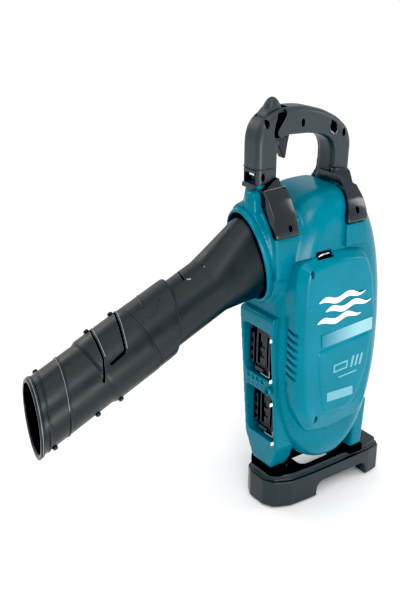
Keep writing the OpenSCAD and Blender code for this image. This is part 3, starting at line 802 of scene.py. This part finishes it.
def skin(outside, inside, n, step=1.2):
    """A turned skin on ring planes, through the (t, radius) corners of its outside and then its inside."""
    corners = outside + inside
    fine = []
    for i, ((t0, r0), (t1, r1)) in enumerate(zip(corners, corners[1:])):
        both_outside = i + 1 < len(outside)
        k = max(1, int(abs(t1 - t0) / (step * FINE))) if both_outside else 1
        fine += [(t0 + (t1 - t0) * j / k, r0 + (r1 - r0) * j / k) for j in range(k)]
    fine.append(corners[-1])
    return loft([[tuple(ring_point(t, r, TURN * i / n)) for i in range(n)] for t, r in fine], closed=True)


def rib(t, r, h=0.8, w=2.2):
    """Outside profile of one raised rib."""
    return [
        (t - 0.2, r), (t + 0.3, r + h * 0.8), (t + 0.8, r + h),
        (t + w - 0.8, r + h), (t + w - 0.3, r + h * 0.8), (t + w, r),
    ]


sleeve_outside = [
    (112, 34.6), (112.8, 35.3), (114, 35.6), (149.3, SLEEVE_R), (149.45, 33.8), (204, 33.8), (204.5, 33.2),
]
sleeve = mesh_object("sleeve_shell", [skin(sleeve_outside, [(204.5, 31.4), (112, 31.4)], 220)])
piece(crisp(sleeve, 50), "sleeve", "tube_black", ("telescopic_sleeve",))

nozzle_outside = [(149.6, SLEEVE_R), (151, 36.0), (154, NOZZLE_R)]
nozzle_outside += [(205, NOZZLE_R), (207.5, 35.6), (210, TIP_R)]
nozzle_outside += rib(246, TIP_R) + rib(270, TIP_R)
nozzle_outside += [(277, TIP_R), (277.6, 35.4), (278.4, 35.9), (282.0, 35.9), (282.8, 35.4)]
nozzle_inside = [(283, 34.6), (282.8, 32.4), (281.5, BORE_R), (208, BORE_R), (206, 34.1), (150, 34.1)]
nozzle = mesh_object("nozzle_shell", [skin(nozzle_outside, nozzle_inside, 260)])
piece(crisp(nozzle, 50), "nozzle", "tube_black", ("front_nozzle",))
# a black lining painted as the shade deep inside the nozzle's bore
bore_shade = mesh_object("nozzle_bore_shade", [skin([], [(210, 31.85), (281, 31.85), (281, 31.5), (210, 31.5)], 120)])
piece(crisp(bore_shade), "nozzle", "tube_black", material=PAINTED_SHADE)


def outwards(degrees):
    """The direction away from the tube's axis at an angle from its top."""
    return TUBE_UP * math.cos(math.radians(degrees)) + SIDE * math.sin(math.radians(degrees))


def ribbon(path, radius, width, height):
    """A raised line on the tube through (degrees, t) points; its sides lean in a little."""
    fine = []
    for (a0, t0), (a1, t1) in zip(path, path[1:]):
        k = max(2, int(abs(a1 - a0) / 4))
        fine += [(a0 + (a1 - a0) * i / k, t0 + (t1 - t0) * i / k) for i in range(k)]
    fine.append(path[-1])
    points = [tube_point(t, radius, math.radians(a)) for a, t in fine]
    rings = []
    for i, (a, t) in enumerate(fine):
        p, out = points[i], outwards(a)
        along = (points[min(i + 1, len(points) - 1)] - points[max(i - 1, 0)]).normalized()
        across = along.cross(out).normalized() * (width / 2)
        foot, shoulder, top = -out, out * height * 0.6, out * height
        rings.append([tuple(v) for v in (
            p - across + foot, p - across + shoulder, p - across * 0.6 + top,
            p + across * 0.6 + top, p + across + shoulder, p + across + foot,
        )])
    return loft(rings)


def moved(path, dt):
    """The same path further along the tube."""
    return [(a, t + dt) for a, t in path]


def slanted(t, r, first, last):
    """A path round the tube's skin on the slanted ring plane at t, from the first angle to the last."""
    path = []
    for a in range(first, last, 10):
        off = outwards(a) * r
        path.append((a, t - RING_NORMAL.dot(off) / RING_NORMAL.dot(TUBE_AXIS)))
    return path


LONG_ARC = [(40, 183), (10, 187), (-16, 191.5), (-45, 197.5), (-76, 210)]
SLOT_ARC = [(40, 153), (10, 157), (-18, 164), (-55, 175.5)]
SLEEVE_ARC = [(40, 124), (10, 129), (-16, 135.5)]
arcs = [ribbon(path, NOZZLE_R, 2.0, 0.55) for path in (LONG_ARC, SLOT_ARC)]
piece(crisp(mesh_object("nozzle_arcs", arcs), 50), "nozzle", "tube_black")
sleeve_arc = mesh_object("sleeve_arc", [ribbon(SLEEVE_ARC, 35.7, 2.0, 0.6)])
piece(crisp(sleeve_arc, 50), "sleeve", "tube_black")
# dark strips painted as the shade beside the raised arcs and the slot
groove_shade = [
    ribbon(moved(LONG_ARC, 1.9), NOZZLE_R, 1.3, 0.12),
    ribbon(moved(SLOT_ARC, 1.9) + [(-57, 186), (-59, 196)], NOZZLE_R, 1.5, 0.14),
    ribbon([(-59, 197), (-57.5, 179)], NOZZLE_R, 2.4, 0.16),
]
piece(mesh_object("nozzle_groove_shade", groove_shade), "nozzle", "tube_black", material=PAINTED_SHADE)
# light strips painted as highlights along the arcs and the two lips
glints = [
    ribbon(moved(LONG_ARC[:4], -0.9), NOZZLE_R + 0.3, 0.5, 0.35),
    ribbon(moved(SLOT_ARC, -0.9), NOZZLE_R + 0.3, 0.5, 0.35),
    ribbon(slanted(248.6, 35, -80, 35), TIP_R + 0.5, 0.4, 0.4),
    ribbon(slanted(280.4, 36, -120, 30), TIP_R + 1.5, 0.4, 0.3),
]
piece(mesh_object("nozzle_glints", glints), "nozzle", "tube_black", material=PAINTED_HIGHLIGHT)
# dark lines painted as shade on the pipe
tick_paths = ([(55, 70.5), (20, 77), (-15.5, 83)], [(54, 44), (20, 50.5), (-14, 57)])
tick_shade = [ribbon(path, PIPE_R, 1.0, 0.2) for path in tick_paths]
piece(mesh_object("pipe_tick_shade", tick_shade), "housing", "tube_black", material=PAINTED_SHADE)
# short light dashes painted as highlights on the pipe
dash_paths = ([(-17, 80.3), (-22, 77)], [(-17, 57.3), (-22, 54)], [(-17, 107.5), (-22, 104.5)])
dash_highlights = [ribbon(path, PIPE_R + 0.05, 1.6, 0.15) for path in dash_paths]
piece(mesh_object("pipe_dash_highlights", dash_highlights), "housing", "tube_black", material=PAINTED_HIGHLIGHT)
rule = ribbon([(-38, 148), (-37.5, 133.5), (-32, 124), (-26, 124), (-22, 117)], 35.7, 1.0, 0.4)
piece(mesh_object("sleeve_rule", [rule]), "sleeve", "tube_black")

# place along the tube, angle from its top and radius of the skin below each lug
LUGS = (
    (157, 33, NOZZLE_R), (187, 33, NOZZLE_R), (250, 40, TIP_R),
    (200, -137, NOZZLE_R), (227, -137, TIP_R + 0.2), (279, -137, TIP_R + 0.2),
)
# height above the skin, half width and half length of each section of a lug
LUG_SECTIONS = ((-1, 4.6, 3.0), (1.6, 4.4, 2.8), (2.6, 3.6, 2.0), (2.9, 2.6, 1.2))


def lug(t, degrees, r, n=24):
    """A low oval bump on the tube's skin."""
    rings = []
    for h, w, l in LUG_SECTIONS:
        ring = []
        for i in range(n):
            u = TURN * i / n
            a = math.radians(degrees) + w * math.cos(u) / r
            ring.append(tuple(tube_point(t + 2.5 + l * math.sin(u), r + h, a)))
        rings.append(ring)
    return loft(rings)


piece(mesh_object("nozzle_lugs", [lug(*place) for place in LUGS]), "nozzle", "tube_black")

# ---- handle ----

HANDLE_HALF = 14
HANDLE = soften([
    (-112, 393), (-112, 446), (-108, 459), (-99.5, 468), (-84, 474), (-62, 474.5), (-46, 473), (-24, 467),
    (-4, 457.5), (11, 445), (17, 430), (15.5, 383), (-13.5, 383), (-9.5, 405), (-9, 424), (-14, 434),
    (-25, 440.5), (-42, 444), (-72, 445.5), (-82, 443.5), (-86, 436), (-86, 401),
], 7)
# the dark gap between the grip and the trigger's guard, and the strap slot at the rear
GRIP_GAP = soften([
    (-77, 480), (-84, 480), (-88, 467), (-91, 459), (-92.5, 450), (-90, 443), (-84, 440.5), (-74, 440),
    (-74, 443.5), (-82, 444.5), (-87.5, 448), (-87, 453), (-81.5, 460), (-76, 468),
], 2)
STRAP_SLOT = soften([(-17.5, 444.5), (-9.5, 438.5), (-6.3, 441), (-7.3, 451), (-14.5, 456)], 1.6)
LEG_POCKET = soften([(-9.5, 399), (9.5, 399), (9.5, 412.5), (-9.5, 412.5)], 1.2)
HANDLE_SCREWS = ((-101, 460.5), (-54.3, 457), (-105.3, 407), (3.5, 440))
handle = mesh_object("handle_shell", [round_slab("y", HANDLE, -HANDLE_HALF, HANDLE_HALF, 7, 7, 6)])
remesh(handle, 0.9, 3)
gap_cuts = [prism("y", GRIP_GAP, y0, y1) for y0, y1 in ((-20, -9.5), (9.5, 20))]
screw_cuts = [bar("y", spot, 2.3, -20, -9.5, 28, 4.4) for spot in HANDLE_SCREWS]
cut(
    handle,
    *gap_cuts,
    *screw_cuts,
    box(-87, -56, -6, 6, 425, 462),
    box(-101, -69.5, -8, 8, 453, 500),
    prism("y", STRAP_SLOT, -20, 20),
    prism("x", LEG_POCKET, -120, -106),
)
piece(crisp(handle, 40), "housing", "handle_grey", ("handle_left", "handle_right"))

step_rings = []
for z, d in ((413.4, 1.0), (414.4, 0.2), (415.4, -0.35), (416.2, 1.0)):
    x0, x1, half = -112.2 + d, -85.8 - d, 14.2 - d
    step_rings.append([(x, y, z) for x, y in soften([(x0, -half), (x1, -half), (x1, half), (x0, half)], 7)])
piece(crisp(mesh_object("leg_step", [loft(step_rings)]), 50), "housing", "handle_grey")
lips = [
    round_slab("x", soften([(-11, 394.5), (11, 394.5), (10, 400), (-10, 400)], 2), -114.2, -108, 1.2),
    round_slab("x", soften([(-9, 411), (9, 411), (9, 414), (-9, 414)], 1), -113.2, -108, 0.8),
]
piece(mesh_object("leg_lips", lips), "housing", "handle_grey")
piece(bevelled("leg_catch", [box(-111.6, -108, -7, 1, 408.6, 411)], 0.3), "housing", "bright_steel")

# a light line painted as a highlight along the lower part of the strap slot's rim, in short rods that skip
# the open part
rim_low = [p for p in shrink(STRAP_SLOT, 0.5) if p[1] < 449]
rim_y = -HANDLE_HALF - 0.4
slot_rim_highlight = []
for (x0, z0), (x1, z1) in zip(rim_low, rim_low[1:]):
    if math.hypot(x1 - x0, z1 - z0) < 14:
        slot_rim_highlight.append(rod((x0, rim_y, z0), (x1, rim_y, z1), (-0.4, -0.3, -0.4), (0.4, 0.6, 0.4)))
piece(mesh_object("slot_rim_highlight", slot_rim_highlight), "housing", "handle_grey", material=PAINTED_HIGHLIGHT)
# the screw heads are black, painted as the shade in their holes
heads = [round_slab("y", ellipse(2.1, 4.1, 24, *spot), -10.2, -6.2, 0.4) for spot in HANDLE_SCREWS]
piece(mesh_object("handle_screw_heads", heads), "housing", "dark_steel", ("handle_screws",), PAINTED_SHADE)
# black slabs in the gap between grip and guard, painted as its shade
gap_shade_plan = [(x, min(max(z, 445.5), 468.5)) for x, z in shrink(GRIP_GAP, 0.5)]
gap_shade = [prism("y", gap_shade_plan, -13.3, -8), prism("y", gap_shade_plan, 8, 13.3)]
piece(mesh_object("grip_gap_shade", gap_shade), "housing", "black_plastic", material=PAINTED_SHADE)

# ---- lever and trigger ----

LEVER_X, LEVER_Z = -85.2, 461.5
LEVER_HALF, LEVER_REACH = 7.2, 10.2
LEVER_STEPS, LEVER_POINTS = 14, 48


def lever_section(k):
    """One section of the thumb lever's domed cap, with grip ridges across its middle."""
    a = math.pi * k / LEVER_STEPS
    y = -LEVER_HALF * math.cos(a)
    r = 5 + 18.2 * math.sqrt(max(0.0, 1 - (y / 9.2) ** 2))
    ring = []
    for i in range(LEVER_POINTS + 1):
        u = math.pi * i / LEVER_POINTS
        ridge = 0.4 * math.sin(i * 2.1) if 8 < i < 40 and 0 < k < LEVER_STEPS else 0.0
        x = LEVER_X + LEVER_REACH * math.cos(u) * (0.75 + 0.25 * math.sin(a))
        ring.append((x, y, LEVER_Z + (r + ridge) * math.sin(u) ** 0.75))
    return ring + [(LEVER_X - 9.4 * math.cos(math.pi * j / 6), y, LEVER_Z - 1) for j in range(1, 6)]


DRUM_X, DRUM_Z, DRUM_R = -86, 462, 13.8
half_turn = [math.pi * i / 40 for i in range(41)]
drum = [(DRUM_X + DRUM_R * math.cos(a), DRUM_Z + DRUM_R * math.sin(a)) for a in half_turn]
lever_cap = loft([lever_section(k) for k in range(LEVER_STEPS + 1)])
lever = mesh_object("lever_cap", [lever_cap, prism("y", drum, -7.4, 7.4)])
remesh(lever, 0.7, 2)
cut(lever, box(-80, -60, -12, 12, 440, 466))
piece(lever, "speed_lever", "handle_grey", ("speed_lever",))

BLADE = [(-82, 452), (-84, 442), (-78, 434), (-71, 420), (-68.6, 420), (-66, 436), (-64.5, 442), (-63, 450)]
trigger = mesh_object("trigger_blade", [round_slab("y", soften(BLADE, 2.2), -5, 5, 1.4, 4)])
piece(crisp(remesh(trigger, 0.6, 2)), "trigger", "black_plastic", ("trigger",))

# ---- straps ----

# heights at which the straps' lower ends are cut
STRAP_END_FRONT, STRAP_END_REAR = 349, 353
for name, node, end in (
    ("strap_front", "front_strap", STRAP_END_FRONT),
    ("strap_rear", "rear_strap", STRAP_END_REAR),
):
    strap = remesh(from_node(name, node), 0.6, 5)
    cut(strap, box(-130, 40, -80, -20, 300, end))
    piece(strap, "housing", "strap_black", (node,))

BAND_FRONT = [
    (-21.5, 396), (-30.5, 387.5), (-39.5, 373), (-45.5, 359), (-47, 349), (-40, 349),
    (-34, 360), (-26, 373), (-14, 384), (-8, 391), (-8, 396),
]
BAND_REAR = [
    (-19.5, 409), (-22, 402), (-36, 389), (-48, 377), (-54.5, 366), (-57, 353), (-49, 353),
    (-43, 362), (-32, 373), (-18, 382), (-2, 388), (8, 396), (8, 409),
]
# what is taken off the rear band: above its slanted top, and in front of its narrower upper half
REAR_TOP = [(-30, 410), (-21, 404), (12, 383), (30, 383), (30, 440), (-30, 440)]
REAR_FRONT = [(-40, 345), (-22.6, 345), (-22.6, 362), (-14, 388), (-12.5, 420), (-40, 420)]


def strap_band(name, plan, x0, x1, cuts, screws):
    """One glossy band: a slab bent down the housing's side, with sunk screw holes."""
    band = mesh_object(name, [round_slab("x", soften(plan, 4), x0, x1, 1.6, 4)])
    cut(band, *cuts)
    cut(band, *[bar("y", spot, 2.2, -70, -34, 28, 3.6) for spot in screws])
    piece(crisp(band), "housing", "strap_black")


rear_cuts = [prism("y", REAR_TOP, -60, 30), prism("y", REAR_FRONT, -70, 30)]
strap_band("strap_band_front", BAND_FRONT, -111.8, -81, [], ((-103.5, 386), (-93, 359)))
strap_band("strap_band_rear", BAND_REAR, -22.4, 5.4, rear_cuts, ((-8.5, 366),))

# light rods painted as highlights along the straps' top edges
HIGHLIGHT_LINES = [((-110.6, -22.4, 395.4), (-82.5, -22.0, 396.8)), ((-13.8, -21.4, 398.6), (4.6, -29.4, 388.0))]
# the second copy lies in the same place and is named strap_edge_highlights.001
for _ in range(2):
    edges = [rod(start, end, (-0.4, -0.4, -0.4), (0.4, 0.4, 0.4)) for start, end in HIGHLIGHT_LINES]
    piece(mesh_object("strap_edge_highlights", edges), "housing", "strap_black", material=PAINTED_HIGHLIGHT)

# ---- stand ----

stand = remesh(from_node("stand_base", "stand"), 0.9, 2)
piece(stand, "housing", "stand_grey", ("stand",))
FRONT_SOCKET = [(-86, -17), (-78, -26), (-54, -26), (-48, -20), (-48, 20), (-54, 26), (-78, 26), (-86, 17)]
REAR_SOCKET = [(24, -38), (46, -38), (46, 38), (24, 38)]
COLUMN_SOCKET = [(-84, -22), (-64, -22), (-64, 22), (-84, 22)]
stand_top = 43.0
# black slabs on the stand's top, painted as the shade where the housing sits on it
socket_shade = [
    round_slab("z", soften(FRONT_SOCKET, 5), stand_top, 44.8, 0.4),
    round_slab("z", soften(REAR_SOCKET, 4), stand_top, 50.5, 0.6),
    round_slab("z", soften(COLUMN_SOCKET, 4), stand_top, 53.0, 0.6),
]
piece(mesh_object("stand_socket_shade", socket_shade), "housing", "stand_grey", material=PAINTED_SHADE)

# ---- carrying loop in its pocket ----

loop_curve = bpy.data.curves.new("loop_wire", "CURVE")
loop_curve.dimensions = "3D"
loop_curve.bevel_depth = 1.2 * MM
loop_curve.bevel_resolution = 4
spline = loop_curve.splines.new("BEZIER")
LOOP_POINTS = [(-58, -47, 318), (-56, -50.5, 323), (-49, -52.5, 325), (-42, -50.5, 323), (-40, -47, 318)]
spline.bezier_points.add(len(LOOP_POINTS) - 1)
for knot, place in zip(spline.bezier_points, LOOP_POINTS):
    knot.co = Vector(place) * MM
    knot.handle_left_type = knot.handle_right_type = "AUTO"
loop = bpy.data.objects.new("loop_wire", loop_curve)
bpy.context.scene.collection.objects.link(loop)
piece(loop, "housing", "steel", ("strap_loop",))
# a black floor and back painted as the shade inside the loop's pocket
pocket_floor = box(-60.2, -38.8, -54.5, -43.4, 319.6, 320.6)
pocket_back = box(-60.2, -38.8, -43.9, -43.2, 320, 327.6)
pocket_shade = mesh_object("loop_pocket_shade", [pocket_floor, pocket_back], False)
piece(crisp(pocket_shade), "housing", "black_plastic", material=PAINTED_SHADE)

# ---- stage ----

bpy.ops.mesh.primitive_plane_add(size=40, location=(0, 0, 0))
floor = bpy.context.object
floor.name = "floor"
paper = Nodes("floor_paper")
patches = paper.span(paper.noise(3.0), 0.3, 0.7, 0.0, 1.0)
tone = paper.mix(patches, (0.93, 0.93, 0.93, 1), (0.955, 0.955, 0.955, 1))
paper.link(tone, paper.shader.inputs["Base Color"])
paper.shader.inputs["Roughness"].default_value = 0.9
paper.shader.inputs["Specular IOR Level"].default_value = 0.1
floor.data.materials.append(paper.mat)

world = bpy.data.worlds.new("studio")
bpy.context.scene.world = world
world.use_nodes = True
background = world.node_tree.nodes["Background"]
background.inputs["Color"].default_value = (0.97, 0.98, 1.0, 1)
background.inputs["Strength"].default_value = 0.82

sun_data = bpy.data.lights.new("overhead", "SUN")
sun_data.energy = 0.95
sun_data.angle = math.radians(70)
sun = bpy.data.objects.new("overhead", sun_data)
sun.rotation_euler = (math.radians(12), math.radians(-14), 0)
bpy.context.scene.collection.objects.link(sun)


def softbox(name, place, target, size, power):
    data = bpy.data.lights.new(name, "AREA")
    data.shape = "RECTANGLE"
    data.size, data.size_y = size
    data.energy = power
    lamp = bpy.data.objects.new(name, data)
    bpy.context.scene.collection.objects.link(lamp)
    lamp.location = place
    lamp.rotation_euler = (Vector(target) - Vector(place)).to_track_quat("-Z", "Y").to_euler()
    return lamp


softbox("key", (-0.9, -1.4, 1.5), (0, 0, 0.25), (0.5, 0.7), 9)
softbox("low", (-0.45, -1.2, 0.12), (-0.2, 0, 0.28), (0.9, 0.22), 7)
softbox("rim", (1.5, -0.9, 0.8), (0, 0, 0.25), (0.3, 1.2), 6)
softbox("back", (-0.6, 1.6, 1.2), (0, 0, 0.25), (1.0, 0.6), 5)

camera_data = bpy.data.cameras.new("camera")
camera_data.lens = 54
camera_data.sensor_width = 36
camera = bpy.data.objects.new("camera", camera_data)
bpy.context.scene.collection.objects.link(camera)
camera.location = (-0.6678, -0.7056, 0.6498)
heading, drop = math.radians(35), math.radians(23)
look = Vector((math.sin(heading) * math.cos(drop), math.cos(heading) * math.cos(drop), -math.sin(drop)))
camera.rotation_euler = look.to_track_quat("-Z", "Y").to_euler()
bpy.context.scene.camera = camera
view = bpy.context.scene.view_settings
view.view_transform = "Standard"
view.use_curve_mapping = True
view.curve_mapping.black_level = (0.027, 0.022, 0.020)
view.curve_mapping.update()
